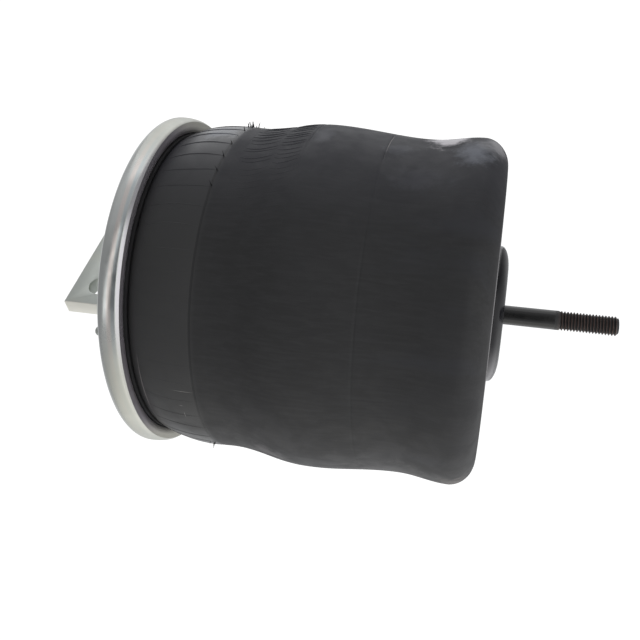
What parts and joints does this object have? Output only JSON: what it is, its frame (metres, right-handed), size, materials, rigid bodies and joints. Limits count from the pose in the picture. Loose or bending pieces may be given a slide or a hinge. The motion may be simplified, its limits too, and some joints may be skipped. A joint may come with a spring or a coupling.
{
  "type": "air suspension spring",
  "caption": "Rolling-lobe air spring: plated bead plate with a flat bracket, rubber bellows rolled over a steel piston, and a long bolt end below.",
  "frame": {"origin": "centre of the bead plate's flat outer face, on the spring's axis", "axes": "+Z along the spring's axis, out of the bead plate's outer face, so the piston is below; +X across the bracket's width, and the bracket's holes run along Y"},
  "size_m": [0.2334, 0.2334, 0.3759],
  "materials": {
    "zinc_plate": "bright zinc plate",
    "zinc_bracket": "dull zinc plate with a green-yellow tint",
    "zinc_weld": "plated weld bead",
    "bead_wire": "bronze-coated steel wire",
    "bellows_rubber": "moulded matte black rubber",
    "black_paint": "gloss black coat",
    "bare_steel": "bare pressed steel",
    "seal_rubber": "smooth black rubber",
    "bump_rubber": "matte moulded rubber",
    "black_steel": "black oxide"
  },
  "bodies": {
    "root": {"bead_plate": "zinc_plate", "upper_bead_wire": "bead_wire", "bracket": "zinc_bracket", "bracket_welds": "zinc_weld", "locating_pin": "zinc_bracket", "inlet_boss": "zinc_plate", "inlet_weld": "zinc_weld", "bellows_bead": "bellows_rubber", "bellows_sleeve": "bellows_rubber"},
    "lobe": {"bellows_lobe": "bellows_rubber"},
    "piston": {"bellows_inner_sleeve": "bellows_rubber", "lower_bead_wire": "bead_wire", "piston_shell": "black_paint", "piston_base": "black_paint", "piston_weld": "black_paint", "crush_sleeve": "bare_steel", "bead_retainer": "zinc_plate", "retainer_seal": "seal_rubber", "bump_stop_plate": "bare_steel", "bump_stop": "bump_rubber", "bolt_washer": "black_steel", "piston_bolt": "black_steel", "base_seal": "seal_rubber"}
  },
  "joints": [
    {"name": "piston_stroke", "type": "slide", "parent": "root", "child": "piston", "axis": [0, 0, -1], "range_m": [0, 0.17], "stiffness_N_per_m": 400, "springref_m": -0.15, "deforming": ["bellows_inner_sleeve"]},
    {"name": "lobe_roll", "type": "slide", "parent": "root", "child": "lobe", "axis": [0, 0, -1], "range_m": [0, 0.085]}
  ],
  "couplings": [
    {"joint": "lobe_roll", "follows": "piston_stroke", "ratio": 0.5}
  ]
}
